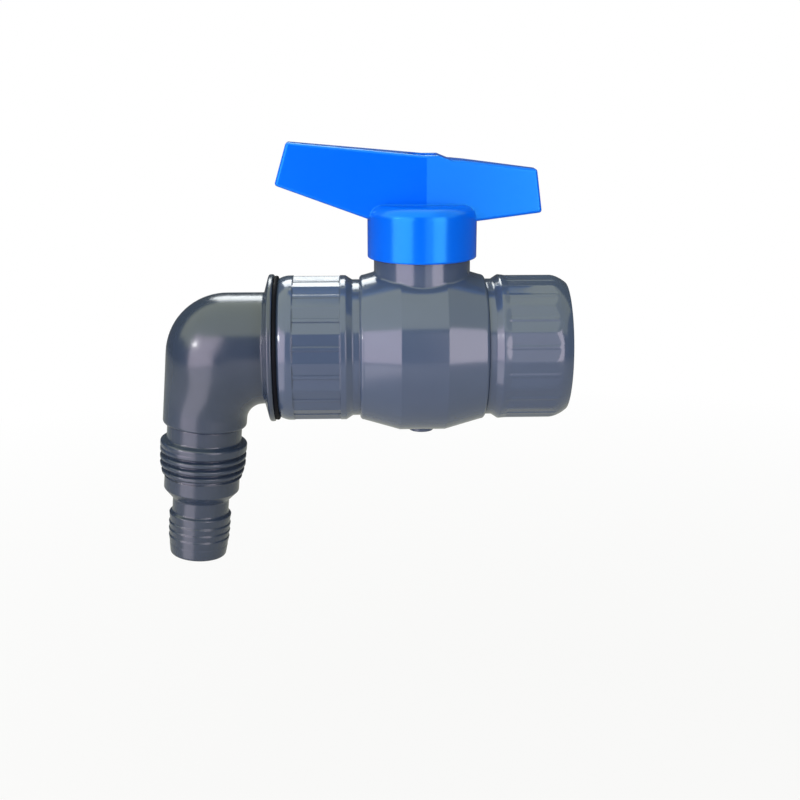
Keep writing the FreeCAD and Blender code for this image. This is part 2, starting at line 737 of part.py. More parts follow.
def build_wings():
    """The two hollow wings: one block cut to its plan and side outlines, with a ribbed hollow below."""
    long_top = (-size.long_top, size.long_top_height)
    middle = (as_size(0), size.middle_height)
    slope = (size.slope_start, size.slope_height)
    short_top = (size.short_top, size.short_top_height)
    side_corners = [
        (-size.long_bottom, size.long_bottom_height),
        (-size.skirt_radius, size.long_root_height),
        (size.skirt_radius, size.short_root_height),
        (size.short_bottom, size.short_bottom_height),
        short_top,
        slope,
        (size.step_end, size.step_height),
        (size.step_start, size.middle_height),
        middle,
        long_top,
    ]
    side = extruded("wing_side", flat_sketch("wing_side_outline", side_corners, True), cutter_width, True)
    block = common("wing_block", wing_plan("wing_plan", 0), side)
    document.recompute()
    rounded = document.addObject("Part::Fillet", "wing_rounded")
    rounded.Base = block
    radius = size.wing_round.number
    sharp = [index for index, edge in enumerate(block.Shape.Edges, start=1) if is_outer_edge(edge)]
    rounded.Edges = [(index, radius, radius) for index in sharp]
    hollows = []
    for name, start, end, reach, sign in (
        ("long", middle, long_top, size.long_top, -1),
        ("short", slope, short_top, size.short_top, 1),
    ):
        near = sign * size.skirt_radius
        far = sign * (reach - size.wing_wall)
        corners = [
            (near, size.short_root_height - CUT_OVERRUN - size.wing_wall),
            (far, size.short_root_height - CUT_OVERRUN - size.wing_wall),
            (far, top_line(start, end, far) - size.wing_wall),
            (near, top_line(start, end, near) - size.wing_wall),
        ]
        sketch = flat_sketch(f"{name}_hollow_outline", corners, True)
        hollows.append(extruded(f"{name}_hollow", sketch, cutter_width, True))
    hollow = common("wing_hollow", wing_plan("hollow_plan", size.wing_wall), fused("hollow_sides", hollows))
    ribs = []
    for name, place in (
        ("long_outer_rib", -size.long_outer_rib),
        ("long_inner_rib", -size.long_inner_rib),
        ("short_rib", size.short_rib),
    ):
        rib = document.addObject("Part::Box", name)
        bind(rib, Length=size.rib_width, Width=cutter_width, Height=size.long_top_height)
        placed(rib, place - size.rib_width / 2)
        rib.setExpression("Placement.Base.y", (-cutter_width / 2).text)
        ribs.append(rib)
    ribbed_hollow = cut("ribbed_hollow", hollow, fused("ribs", ribs))
    return cut("wings", rounded, ribbed_hollow)


def is_outer_edge(edge):
    """True for the wings' long edges and tip edges, and false for the short joints in the top and bottom."""
    first, last = (vertex.Point for vertex in edge.Vertexes)
    along = abs(last.x - first.x)
    across = abs(last.y - first.y)
    is_long = along > size.wing_round.number * SHORTEST_ROUNDED and across < along
    tip_start = min(size.short_top.number, size.short_bottom.number) - size.wing_round.number
    at_tip = min(abs(first.x), abs(last.x)) > tip_start
    return is_long or at_tip


def build_handle():
    skirt_inner = size.skirt_radius - size.skirt_wall
    shoulder_top = size.shoulder_start + size.shoulder_round
    corners = [
        (0, hub_bottom),
        (size.hub_radius, hub_bottom),
        (size.hub_radius, size.hub_roof),
        (skirt_inner, size.hub_roof),
        (skirt_inner, size.skirt_bottom),
        (size.skirt_radius - size.skirt_round, size.skirt_bottom),
        (size.skirt_radius, size.skirt_bottom + size.skirt_round, quarter(size.skirt_round), 1),
        (size.skirt_radius, size.shoulder_start),
        (size.skirt_radius - size.shoulder_round, shoulder_top, quarter(size.shoulder_round), 1),
        (0, shoulder_top),
    ]
    hub = turned("handle_hub", corners, "V_Axis")
    lug = new_body("stop_lug")
    lug_low = size.neck_top - size.track_depth + size.lug_gap
    sketch = body_sketch(lug, "lug_sector", "XY_Plane", lug_low)
    half_lug = size.lug_angle / 2
    inner = size.track_inner + size.lug_gap
    draw_sector(sketch, inner, size.track_outer - size.lug_gap, 90 - half_lug, 90 + half_lug)
    feature(lug, "Pad", "lug", sketch, Length=size.hub_roof - lug_low + size.skirt_wall)
    solid = fused("handle_solid", [build_wings(), hub, lug])
    side = size.square_side + 2 * size.square_gap
    square = document.addObject("Part::Box", "square_hole")
    bind(square, Length=side, Width=side, Height=square_top + size.square_gap - hub_bottom + CUT_OVERRUN)
    placed(square, -side / 2, hub_bottom - CUT_OVERRUN)
    square.setExpression("Placement.Base.y", (-side / 2).text)
    shank = cylinder("screw_hole", size.screw_radius + size.screw_hole_gap, size.screw_seat)
    well = cylinder("screw_well", size.well_radius, size.long_top_height)
    placed(well, 0, size.screw_seat)
    handle = cut("handle", solid, fused("handle_holes", [square, shank, well]))
    handle.Label = "handle"
    return placed(handle, -size.inlet_reach)


def build_screw():
    head_low = size.screw_seat + size.flat_washer_height
    head_top = head_low + size.screw_head_height
    head_round = size.screw_head_height / 2
    corners = [
        (0, head_low - size.screw_length),
        (size.screw_radius / 2, head_low - size.screw_length),
        (size.screw_radius, head_low - size.screw_length + size.screw_radius),
        (size.screw_radius, head_low),
        (size.screw_head_radius, head_low),
        (size.screw_head_radius, head_top - head_round),
        (size.screw_head_radius - head_round, head_top, quarter(head_round), 1),
        (0, head_top),
    ]
    body = turned("handle_screw", corners, "V_Axis")
    half_slot = size.screw_slot_width / 2
    reach = size.screw_slot_length / 2
    for name, wide, deep in (("first_slot", half_slot, reach), ("second_slot", reach, half_slot)):
        sketch = outline(body, name, "XY_Plane", rectangle(-wide, wide, -deep, deep), head_top)
        feature(body, "Pocket", f"{name}_cut", sketch, Length=head_round)
    return placed(body, -size.inlet_reach)


def build_screw_washer():
    hole = size.screw_radius + size.screw_hole_gap
    outer = size.well_radius - size.screw_hole_gap
    corners = rectangle(hole, outer, size.screw_seat, size.screw_seat + size.flat_washer_height)
    return placed(turned("screw_washer", corners, "V_Axis"), -size.inlet_reach)


def build_screw_plug():
    radius = size.well_radius - size.plug_gap
    bottom = size.plug_top - size.plug_height
    inner = radius - size.plug_wall
    corners = [
        (0, size.plug_top - size.plug_wall),
        (inner, size.plug_top - size.plug_wall),
        (inner, bottom),
        (radius, bottom),
        (radius, size.plug_top),
        (0, size.plug_top),
    ]
    return placed(turned("screw_plug", corners, "V_Axis"), -size.inlet_reach)


def build_gasket():
    corners = rectangle(-gasket_face, -size.outlet_reach, size.socket_bore, size.gasket_radius)
    return placed(turned("flange_gasket", corners), -size.inlet_reach)


def on_leg(item, distance):
    """Places an object on the leg's axis, pointing down it."""
    distance = as_size(distance)
    lean = size.outlet_lean
    place_x = -size.inlet_reach - size.leg_offset - distance * sine(lean)
    return placed(item, place_x, -distance * cosine(lean), 180 + lean)


def bend_pivot():
    """The point that the bend's sections turn about, and the distance down the leg where the bend ends."""
    lean = size.outlet_lean
    drop = size.arm_radius + size.inner_bend
    aside = (size.leg_radius + size.inner_bend - drop * sine(lean)) / cosine(lean)
    bend_end = drop * cosine(lean) - aside * sine(lean)
    return -size.leg_offset + aside, -drop, bend_end


def outer_reach(angle):
    """Distance from the pivot to the bend's outer side: arm's top, rounded corner, then leg's side."""
    turn = 90 - size.outlet_lean
    over_arm = size.inner_bend + 2 * size.arm_radius
    over_leg = size.inner_bend + 2 * size.leg_radius
    high = over_arm - size.outer_bend
    wide = (over_leg - size.outer_bend - high * cosine(turn)) / sine(turn)
    across = high * sine(angle) - wide * cosine(angle)
    along = high * cosine(angle) + wide * sine(angle)
    before_corner = angle.number < math.degrees(math.atan2(wide.number, over_arm.number))
    leg_side = math.sqrt(high.number**2 + wide.number**2 - (over_leg - size.outer_bend).number ** 2)
    after_corner = angle.number > turn.number - math.degrees(math.atan2(leg_side, over_leg.number))
    if before_corner:
        return over_arm / cosine(angle)
    if after_corner:
        return over_leg / cosine(turn - angle)
    return along + root(size.outer_bend * size.outer_bend - across * across)


def build_bend(pivot_x, pivot_z):
    """A lofted bend that narrows from the arm to the leg."""
    sections = []
    turn = 90 - size.outlet_lean
    for step in range(BEND_STEPS + 1):
        angle = turn * (step / BEND_STEPS)
        half_height = (outer_reach(angle) - size.inner_bend) / 2
        blend = cosine(angle * 90 / turn)
        half_width = size.leg_radius + (size.arm_radius - size.leg_radius) * blend * blend
        if half_width.number > half_height.number:
            half_width = half_height
        section = document.addObject("Part::Ellipse", f"bend_section_{step}")
        bind(section, MajorRadius=half_height, MinorRadius=half_width)
        reach = size.inner_bend + half_height
        placed(section, pivot_x - reach * sine(angle), pivot_z + reach * cosine(angle), -(90 + angle))
        sections.append(section)
    loft = document.addObject("Part::Loft", "bend")
    loft.Sections = sections
    loft.Solid = True
    loft.Ruled = False
    return loft


def build_elbow():
    pivot_x, pivot_z, bend_end = bend_pivot()
    rim_end = gasket_face + size.flange_rim
    corners = [
        (pivot_x, 0),
        (pivot_x, size.arm_radius),
        (-arm_start, size.arm_radius),
        (-rim_end, size.flange_radius - size.flange_round),
        (-gasket_face - size.flange_round, size.flange_radius),
        (-gasket_face, size.flange_radius - size.flange_round, quarter(size.flange_round), -1),
        (-gasket_face, size.socket_bore - size.thread_gap),
        (-size.outlet_reach + size.spigot_length, size.socket_bore - size.thread_gap),
        (-size.outlet_reach + size.spigot_length, 0),
    ]
    flange = turned("flange_and_spigot", corners)
    corners = [
        (0, bend_end),
        (size.leg_radius, bend_end),
        (size.leg_radius, size.leg_length - size.leg_round),
        (size.leg_radius - size.leg_round, size.leg_length, quarter(size.leg_round), 1),
        (0, size.leg_length),
    ]
    leg = turned("leg", corners, "V_Axis")
    placed(leg, -size.leg_offset, 0, 180 + size.outlet_lean)
    solid = fused("elbow_solid", [flange, build_bend(pivot_x, pivot_z), leg])
    arm_bore = cylinder("arm_bore", size.passage_radius, size.leg_offset)
    placed(arm_bore, -size.leg_offset, 0, 90)
    corner = bind(document.addObject("Part::Sphere", "corner_space"), Radius=size.passage_radius)
    placed(corner, -size.leg_offset)
    lower_way = cylinder("lower_way", size.nipple_bore + size.thread_gap, size.leg_length)
    placed(lower_way, -size.leg_offset, 0, 180 + size.outlet_lean)
    socket = cylinder("leg_socket", size.nipple_thread + size.thread_gap, size.leg_length)
    lean = size.outlet_lean
    start = size.nipple_start
    placed(socket, -size.leg_offset - start * sine(lean), -start * cosine(lean), 180 + lean)
    elbow = cut("elbow", solid, fused("elbow_spaces", [arm_bore, corner, lower_way, socket]))
    elbow.Label = "elbow"
    return placed(elbow, -size.inlet_reach)


def build_nipple():
    """The outlet nipple, turned about its own axis from (radius, distance down the leg) corners."""
    seal_floor = size.nipple_thread - size.nipple_cord + size.thread_gap
    seal_end = size.nipple_seal_start + size.nipple_cord + size.pocket_gap
    corners = [
        (size.nipple_bore, size.nipple_start),
        (size.nipple_thread, size.nipple_start),
        (size.nipple_thread, size.nipple_seal_start),
        (seal_floor, size.nipple_seal_start),
        (seal_floor, seal_end),
        (size.nipple_thread, seal_end),
        (size.nipple_thread, size.leg_length),
        (size.nipple_collar, size.leg_length),
        (size.nipple_collar, size.collar_end),
        (size.hose_thread, size.collar_end + size.thread_lead),
        (size.hose_thread, size.thread_taper_start),
        (size.thread_end_radius, size.thread_end),
        (size.shoulder_radius, size.thread_end),
        (size.shoulder_radius, size.shoulder_end),
        (size.waist_radius, size.waist_start),
        (size.waist_radius, size.barb_start),
    ]
    barbs = int(size.barb_count.number)
    for index in range(barbs):
        start = size.barb_start + index * size.barb_pitch
        corners.append((size.barb_radius, start))
        corners.append((size.barb_radius - size.barb_fall, start + size.barb_pitch))
    corners += [
        (size.nose_radius, size.nose_end - size.nose_round),
        (size.nose_radius - size.nose_round, size.nose_end, quarter(size.nose_round), 1),
        (size.nipple_bore, size.nose_end),
    ]
    return on_leg(turned("outlet_nipple", corners, "V_Axis"), 0)


def build_nipple_seal():
    middle = size.nipple_seal_start + (size.nipple_cord + size.pocket_gap) / 2
    outer = size.nipple_thread + size.thread_gap
    return on_leg(seal_ring("nipple_o_ring", outer - size.nipple_cord / 2, size.nipple_cord), middle)


def build_all():
    return [
        build_valve_body(),
        build_inlet_end(),
        build_body_seal(),
        build_ball(),
        build_seat("inlet_seat", 1),
        build_seat("outlet_seat", -1),
        build_backing_ring("inlet_seat_o_ring", 1),
        build_backing_ring("outlet_seat_o_ring", -1),
        build_stem(),
        build_stem_seal("stem_o_ring_lower", size.lower_seal),
        build_stem_seal("stem_o_ring_upper", size.upper_seal),
        build_stem_washer(),
        build_handle(),
        build_screw(),
        build_screw_washer(),
        build_screw_plug(),
        build_gasket(),
        build_elbow(),
        build_nipple(),
        build_nipple_seal(),
    ]


def check_and_export(pieces):
    """Stops on any failed object or shape, then writes one file for each piece."""
    for item in document.Objects:
        if "Invalid" in item.State or "Error" in item.State:
            raise RuntimeError(f"{item.Name} failed: {item.State}")
    for piece in pieces:
        if piece.Shape.isNull() or not piece.Shape.isValid() or not piece.Shape.Solids:
            raise RuntimeError(f"{piece.Label} has no valid solid")
    os.makedirs("parts", exist_ok=True)
    for piece in pieces:
        piece.Shape.exportStep(f"parts/{piece.Label}.step")


pieces = build_all()
document.recompute()
check_and_export(pieces)
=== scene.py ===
import json
import math

import bmesh
import bpy
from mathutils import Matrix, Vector


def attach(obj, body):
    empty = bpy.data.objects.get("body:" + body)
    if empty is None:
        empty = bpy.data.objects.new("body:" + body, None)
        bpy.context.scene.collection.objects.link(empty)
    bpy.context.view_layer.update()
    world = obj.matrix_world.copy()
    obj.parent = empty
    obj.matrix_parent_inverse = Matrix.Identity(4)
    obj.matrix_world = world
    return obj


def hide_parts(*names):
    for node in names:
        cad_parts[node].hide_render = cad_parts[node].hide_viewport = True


# The looks of the tap: materials, detailed pieces, studio and camera.
# The tap's lengths are in millimetres here and become metres where an object is written.
# The studio's lengths are in metres.

MM = 0.001
X_AXIS = Vector((1, 0, 0))
Y_AXIS = Vector((0, 1, 0))
Z_AXIS = Vector((0, 0, 1))

# The ball's centre, and the outlet's leg, which leans back under the valve's far end

BALL_X = -44.2
BALL = Vector((BALL_X, 0, 0))
LEG_OFFSET = 65.5
LEAN = math.radians(5.0)
LEG_TOP = BALL - X_AXIS * LEG_OFFSET
DOWN_LEG = Vector((-math.sin(LEAN), 0, -math.cos(LEAN)))
ACROSS_LEG = Vector((math.cos(LEAN), 0, -math.sin(LEAN)))

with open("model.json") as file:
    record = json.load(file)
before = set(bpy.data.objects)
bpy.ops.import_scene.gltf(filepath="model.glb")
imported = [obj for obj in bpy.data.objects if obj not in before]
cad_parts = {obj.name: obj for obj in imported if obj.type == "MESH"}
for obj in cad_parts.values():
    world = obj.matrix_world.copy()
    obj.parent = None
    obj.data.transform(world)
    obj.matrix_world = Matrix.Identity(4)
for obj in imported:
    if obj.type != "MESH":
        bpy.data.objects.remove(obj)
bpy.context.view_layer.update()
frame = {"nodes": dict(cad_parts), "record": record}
nodes = frame["nodes"]


# Materials

def srgb(red, green, blue):
    """A colour as seen on a screen, from 0 to 255, turned into linear light."""
    def linear(value):
        value /= 255
        return value / 12.92 if value <= 0.04045 else ((value + 0.055) / 1.055) ** 2.4
    return (linear(red), linear(green), linear(blue), 1.0)


class Nodes:
    """A short way to add shader nodes and join them."""

    def __init__(self, owner):
        owner.use_nodes = True
        self.tree = owner.node_tree
        self.tree.nodes.clear()

    def add(self, kind, inputs=None, **settings):
        node = self.tree.nodes.new(f"ShaderNode{kind}")
        for key, value in settings.items():
            setattr(node, key, value)
        for key, value in (inputs or {}).items():
            if isinstance(value, bpy.types.NodeSocket):
                self.tree.links.new(value, node.inputs[key])
            else:
                node.inputs[key].default_value = value
        return node


EDGE_SOFTNESS = 0.0006
SKIN_HEIGHT = 0.00005


def plastic(name, dark, light, roughness, grain, bump, specular=0.5, tint=(1, 1, 1)):
    """Moulded plastic: a slow drift between two close colours, a fine skin in gloss and height,
    and softened edges."""
    material = bpy.data.materials.new(name)
    graph = Nodes(material)
    place = graph.add("TexCoord").outputs["Object"]
    cloud = graph.add("TexNoise", {"Vector": place, "Scale": 38.0, "Detail": 3.0, "Roughness": 0.5})
    skin = graph.add("TexNoise", {"Vector": place, "Scale": grain, "Detail": 4.0, "Roughness": 0.6})
    drift = graph.add("ValToRGB", {"Fac": cloud.outputs["Fac"]})
    drift.color_ramp.elements[0].position = 0.3
    drift.color_ramp.elements[0].color = dark
    drift.color_ramp.elements[1].position = 0.7
    drift.color_ramp.elements[1].color = light
    soft_edge = graph.add("Bevel", {"Radius": EDGE_SOFTNESS}, samples=6)
    gloss = graph.add(
        "MapRange",
        {
            "Value": skin.outputs["Fac"],
            "From Min": 0.3,
            "From Max": 0.7,
            "To Min": roughness * 0.85,
            "To Max": roughness * 1.2,
        },
    )
    height = graph.add(
        "Bump",
        {
            "Height": skin.outputs["Fac"],
            "Strength": bump,
            "Distance": SKIN_HEIGHT,
            "Normal": soft_edge.outputs["Normal"],
        },
    )
    shader = graph.add(
        "BsdfPrincipled",
        {
            "Base Color": drift.outputs["Color"],
            "Roughness": gloss.outputs["Result"],
            "Normal": height.outputs["Normal"],
            "IOR": 1.5,
            "Specular IOR Level": specular,
            "Specular Tint": (*tint, 1.0),
        },
    )
    graph.add("OutputMaterial", {"Surface": shader.outputs["BSDF"]})
    return material


def steel(name):
    """Plain steel, with a gloss that changes in fine specks."""
    material = bpy.data.materials.new(name)
    graph = Nodes(material)
    place = graph.add("TexCoord").outputs["Object"]
    specks = graph.add("TexNoise", {"Vector": place, "Scale": 900.0, "Detail": 2.0})
    gloss = graph.add("MapRange", {"Value": specks.outputs["Fac"], "To Min": 0.22, "To Max": 0.4})
    shader = graph.add(
        "BsdfPrincipled",
        {"Base Color": srgb(196, 196, 192), "Metallic": 1.0, "Roughness": gloss.outputs["Result"]},
    )
    graph.add("OutputMaterial", {"Surface": shader.outputs["BSDF"]})
    return material


SLOT_MATERIALS = {
    "grey_plastic": plastic(
        "grey_plastic",
        dark=srgb(63, 77, 101),
        light=srgb(68, 83, 107),
        roughness=0.14,
        grain=1500.0,
        bump=0.1,
        specular=0.8,
    ),
    "dark_grey_plastic": plastic(
        "dark_grey_plastic",
        dark=srgb(42, 54, 72),
        light=srgb(47, 59, 78),
        roughness=0.21,
        grain=1500.0,
        bump=0.1,
        specular=0.8,
    ),
    "blue_plastic": plastic(
        "blue_plastic",
        dark=srgb(0, 92, 226),
        light=srgb(0, 97, 234),
        roughness=0.21,
        grain=1100.0,
        bump=0.04,
        specular=1.0,
        tint=(0.12, 1.0, 1.0),
    ),
    "black_rubber": plastic(
        "black_rubber",
        dark=srgb(7, 9, 16),
        light=srgb(11, 13, 21),
        roughness=0.6,
        grain=700.0,
        bump=0.4,
        specular=0.1,
    ),
    "seat_white": plastic(
        "seat_white",
        dark=srgb(228, 228, 220),
        light=srgb(236, 236, 230),
        roughness=0.4,
        grain=900.0,
        bump=0.2,
    ),
    "ball_plastic": plastic(
        "ball_plastic",
        dark=srgb(62, 72, 92),
        light=srgb(67, 78, 98),
        roughness=0.12,
        grain=1500.0,
        bump=0.08,
    ),
    "steel": steel("steel"),
}

for row in frame["record"]["subparts"]:
    node = nodes[row["node"]]
    for material_slot in node.material_slots:
        material_slot.material = SLOT_MATERIALS[row["material_slot"]]


# Tools for the detailed pieces, which are closed grids: each has an outline of (along, radius) points

LONGEST_SHARE = 0.46
NEARLY_STRAIGHT = math.radians(88)
SHARP_EDGE = math.radians(38)


def rounded(corners, steps=5, hold=0.08):
    """A closed outline whose corners (along, radius, rounding) are turned into arcs.
    A point beside each end of an arc keeps the shading of the long sides flat."""
    points = []
    for index, (along, radius, rounding) in enumerate(corners):
        here = Vector((along, radius))
        back = Vector(corners[index - 1][:2]) - here
        ahead = Vector(corners[(index + 1) % len(corners)][:2]) - here
        half = back.angle(ahead) / 2
        if rounding <= 0 or half > NEARLY_STRAIGHT:
            points.append(here)
            continue
        reach = min(rounding / math.tan(half), LONGEST_SHARE * back.length, LONGEST_SHARE * ahead.length)
        turn_radius = reach * math.tan(half)
        back_room = 0.5 * back.length - reach
        ahead_room = 0.5 * ahead.length - reach
        back.normalize()
        ahead.normalize()
        centre = here + (back + ahead).normalized() * (turn_radius / math.sin(half))
        start = here + back * reach - centre
        end = here + ahead * reach - centre
        turn = math.atan2(start.x * end.y - start.y * end.x, start.dot(end))
        if back_room > hold:
            points.append(here + back * (reach + hold))
        for step in range(steps + 1):
            angle = turn * step / steps
            swung_along = start.x * math.cos(angle) - start.y * math.sin(angle)
            swung_radius = start.x * math.sin(angle) + start.y * math.cos(angle)
            points.append(centre + Vector((swung_along, swung_radius)))
        if ahead_room > hold:
            points.append(here + ahead * (reach + hold))
    return points


def divided(points, places, radii, step):
    """Adds points to an outline's sides that lie within both ranges, for shapes that need a fine grid."""
    finer = []
    for index, start in enumerate(points):
        end = points[(index + 1) % len(points)]
        finer.append(start)
        inside = all(
            places[0] <= point.x <= places[1] and radii[0] <= point.y <= radii[1]
            for point in (start, end)
        )
        parts = math.ceil((end - start).length / step) if inside else 1
        finer += [start.lerp(end, part / parts) for part in range(1, parts)]
    return finer


def even_angles(count):
    return [2 * math.pi * index / count for index in range(count)]


def add_piece(name, rings, material, body, node):
    """Makes a closed piece from rings of points in millimetres. The last ring joins the first."""
    count = len(rings[0])
    points = [point * MM for ring in rings for point in ring]
    faces = []
    for index in range(len(rings)):
        here = index * count
        following = ((index + 1) % len(rings)) * count
        for spoke in range(count):
            after = (spoke + 1) % count
            faces.append((here + spoke, here + after, following + after, following + spoke))
    mesh = bpy.data.meshes.new(name)
    mesh.from_pydata(points, [], faces)
    shape = bmesh.new()
    shape.from_mesh(mesh)
    bmesh.ops.recalc_face_normals(shape, faces=shape.faces)
    shape.to_mesh(mesh)
    shape.free()
    mesh.shade_smooth()
    mesh.set_sharp_from_angle(angle=SHARP_EDGE)
    mesh.materials.append(material)
    piece = bpy.data.objects.new(name, mesh)
    bpy.context.scene.collection.objects.link(piece)
    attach(piece, body)
    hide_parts(node)


def turned_rings(outline, angles, origin, axis, side, up, reshape=None):
    """Rings of an outline turned about an axis. reshape(along, radius, angle) may change the radius."""
    rings = []
    for along, radius in outline:
        middle = origin + axis * along
        ring = []
        for angle in angles:
            reach = reshape(along, radius, angle) if reshape else radius
            ring.append(middle + side * (reach * math.cos(angle)) + up * (reach * math.sin(angle)))
        rings.append(ring)
    return rings


def ramp(value, start, end):
    """Rises smoothly from 0 at the start to 1 at the end."""
    share = min(max((value - start) / (end - start), 0), 1)
    return share * share * (3 - 2 * share)


def groove_of_thread(turns, width):
    """Depth of a thread's rounded groove: 0 on the crest and 1 in the valley.
    The width is the share of the pitch from the valley to the crest's edge."""
    near = abs(turns - round(turns))
    return ramp(1 - near / width, 0, 1) if near < width else 0


# The inlet end: 16 grip flats outside, a 1 inch pipe thread inside

SOCKET_RADIUS = 22.2
SPIGOT_RADIUS = 18.95
WATER_WAY = 11.5
INLET_REACH = 44.2
INLET_ROUND = 10.0
INLET_DROP = 2.5
INLET_STEPS = 10

GRIP_FLATS = 16
GRIP_DISTANCE = 21.77
GRIP_EDGE = 22.13
GRIP_LINE_WIDTH = 1.2
GRIP_LINE_HEIGHT = 0.16
GRIP_PLACES = (24.0, 40.5)
GRIP_LEAST_RADIUS = 20.0
GRIP_FADE = (24.4, 25.6)

PIPE_RADIUS = 15.15
PIPE_PITCH = 2.309
PIPE_DEPTH = 1.4
PIPE_GROOVE = 0.46
PIPE_PLACES = (23.7, 43.4)
PIPE_RADII = (14.8, 15.3)
PIPE_FADE_IN = (24.6, 26.5)
PIPE_FADE_OUT = (42.0, 43.4)


def grip_radius(radius, angle, share):
    """Radius over the flats, whose edges lie at whole steps from the front, and the line along each.
    share fades them in."""
    step = 2 * math.pi / GRIP_FLATS
    from_middle = abs((angle % step) - step / 2)
    across = GRIP_DISTANCE * math.tan(from_middle)
    line = GRIP_LINE_HEIGHT * (1 - ramp(across, 0.2 * GRIP_LINE_WIDTH, 0.6 * GRIP_LINE_WIDTH))
    flat = min((GRIP_DISTANCE + line) / math.cos(from_middle), GRIP_EDGE)
    return radius + (min(radius, flat) - radius) * share


def grip_angles():
    """Close together beside the flats' edges and lines, which keeps them crisp, and wider between."""
    step = 2 * math.pi / GRIP_FLATS
    half = (0.0, 0.02, 0.05, 0.12, 0.25, 0.37, 0.415, 0.44, 0.46, 0.48)
    shares = half + (0.5,) + tuple(1 - share for share in half[:0:-1])
    return [step * (flat + share) for flat in range(GRIP_FLATS) for share in shares]


def inlet_shape(along, radius, angle):
    """The flats outside and the thread inside. Other radii stay as they are."""
    if radius > GRIP_LEAST_RADIUS and along > GRIP_PLACES[0]:
        return grip_radius(radius, angle, ramp(along, *GRIP_FADE))
    if PIPE_RADII[0] < radius < PIPE_RADII[1] and PIPE_PLACES[0] < along < PIPE_PLACES[1]:
        turns = along / PIPE_PITCH + angle / (2 * math.pi)
        fade = ramp(along, *PIPE_FADE_IN) * (1 - 0.4 * ramp(along, *PIPE_FADE_OUT))
        return radius + PIPE_DEPTH * fade * groove_of_thread(turns, PIPE_GROOVE)
    return radius


def inlet_end_arc():
    """The socket's rounded end, from its side to the face of its mouth."""
    start = INLET_REACH - math.sqrt(2 * INLET_ROUND * INLET_DROP - INLET_DROP**2)
    turn = math.acos(1 - INLET_DROP / INLET_ROUND)
    arc = [(start - 0.1, SOCKET_RADIUS, 0.0)]
    for step in range(INLET_STEPS + 1):
        angle = turn * step / INLET_STEPS
        along = start + INLET_ROUND * math.sin(angle)
        arc.append((along, SOCKET_RADIUS - INLET_ROUND * (1 - math.cos(angle)), 0.0))
    return arc


def build_inlet_end():
    corners = [
        (11.2, SPIGOT_RADIUS, 0.3),
        (12.2, SPIGOT_RADIUS, 0.1),
        (12.2, 17.2, 0.1),
        (14.2, 17.2, 0.1),
        (14.2, SPIGOT_RADIUS, 0.1),
        (19.12, SPIGOT_RADIUS, 0.0),
        (19.12, 20.9, 0.25),
        (21.3, 20.9, 0.25),
        (23.3, SOCKET_RADIUS, 0.7),
        (25.05, SOCKET_RADIUS, 0.0),
        *inlet_end_arc(),
        (INLET_REACH, 19.4, 0.0),
        (INLET_REACH, 16.5, 0.5),
        (43.0, PIPE_RADIUS, 0.2),
        (23.7, PIPE_RADIUS, 0.3),
        (23.7, WATER_WAY, 0.4),
        (15.4, WATER_WAY, 0.1),
        (15.4, 12.9, 0.0),
        (16.8, 12.9, 0.0),
        (16.8, 14.5, 0.0),
        (15.4, 14.5, 0.0),
        (15.4, 15.7, 0.0),
        (11.2, 15.7, 0.2),
    ]
    outline = rounded(corners, 7)
    outline = divided(outline, PIPE_PLACES, PIPE_RADII, 0.22)
    outline = divided(outline, GRIP_PLACES, (22.0, 22.3), 0.35)
    rings = turned_rings(outline, grip_angles(), BALL, X_AXIS, -Y_AXIS, Z_AXIS, inlet_shape)
    material = SLOT_MATERIALS["grey_plastic"]
    add_piece("inlet_socket", rings, material, "valve", "inlet_end")


# The outlet nipple: a right-handed hose thread that runs out downwards, a waist and hose barbs

NIPPLE_SPIGOT = 9.8
NIPPLE_BORE = 7.0
NIPPLE_NECK = 11.6
NIPPLE_WAIST = 11.75
NIPPLE_END = 67.0

HOSE_PITCH = 2.4
HOSE_VALLEY = 33.0
HOSE_DEPTH = 1.35
HOSE_GROOVE = 0.33
HOSE_PLACES = (29.0, 41.0)
HOSE_RADII = (11.9, 13.6)
HOSE_FADE = (30.7, 32.6)

# Each barb's start, end, radius at its edge and radius at its end
BARBS = (
    (53.2, 55.9, 9.75, 9.4),
    (56.2, 58.2, 9.75, 9.4),
    (58.5, 60.4, 9.7, 9.3),
    (60.7, 63.2, 9.6, 9.15),
)


def hose_thread(along, radius, angle):
    """The thread's groove, which starts below the collar. Other radii stay as they are."""
    if radius < HOSE_RADII[0] or not HOSE_PLACES[0] < along < HOSE_PLACES[1]:
        return radius
    turns = (along - HOSE_VALLEY) / HOSE_PITCH + (angle + math.pi / 2) / (2 * math.pi)
    fade = ramp(along, *HOSE_FADE)
    return max(radius - HOSE_DEPTH * fade * groove_of_thread(turns, HOSE_GROOVE), NIPPLE_NECK)


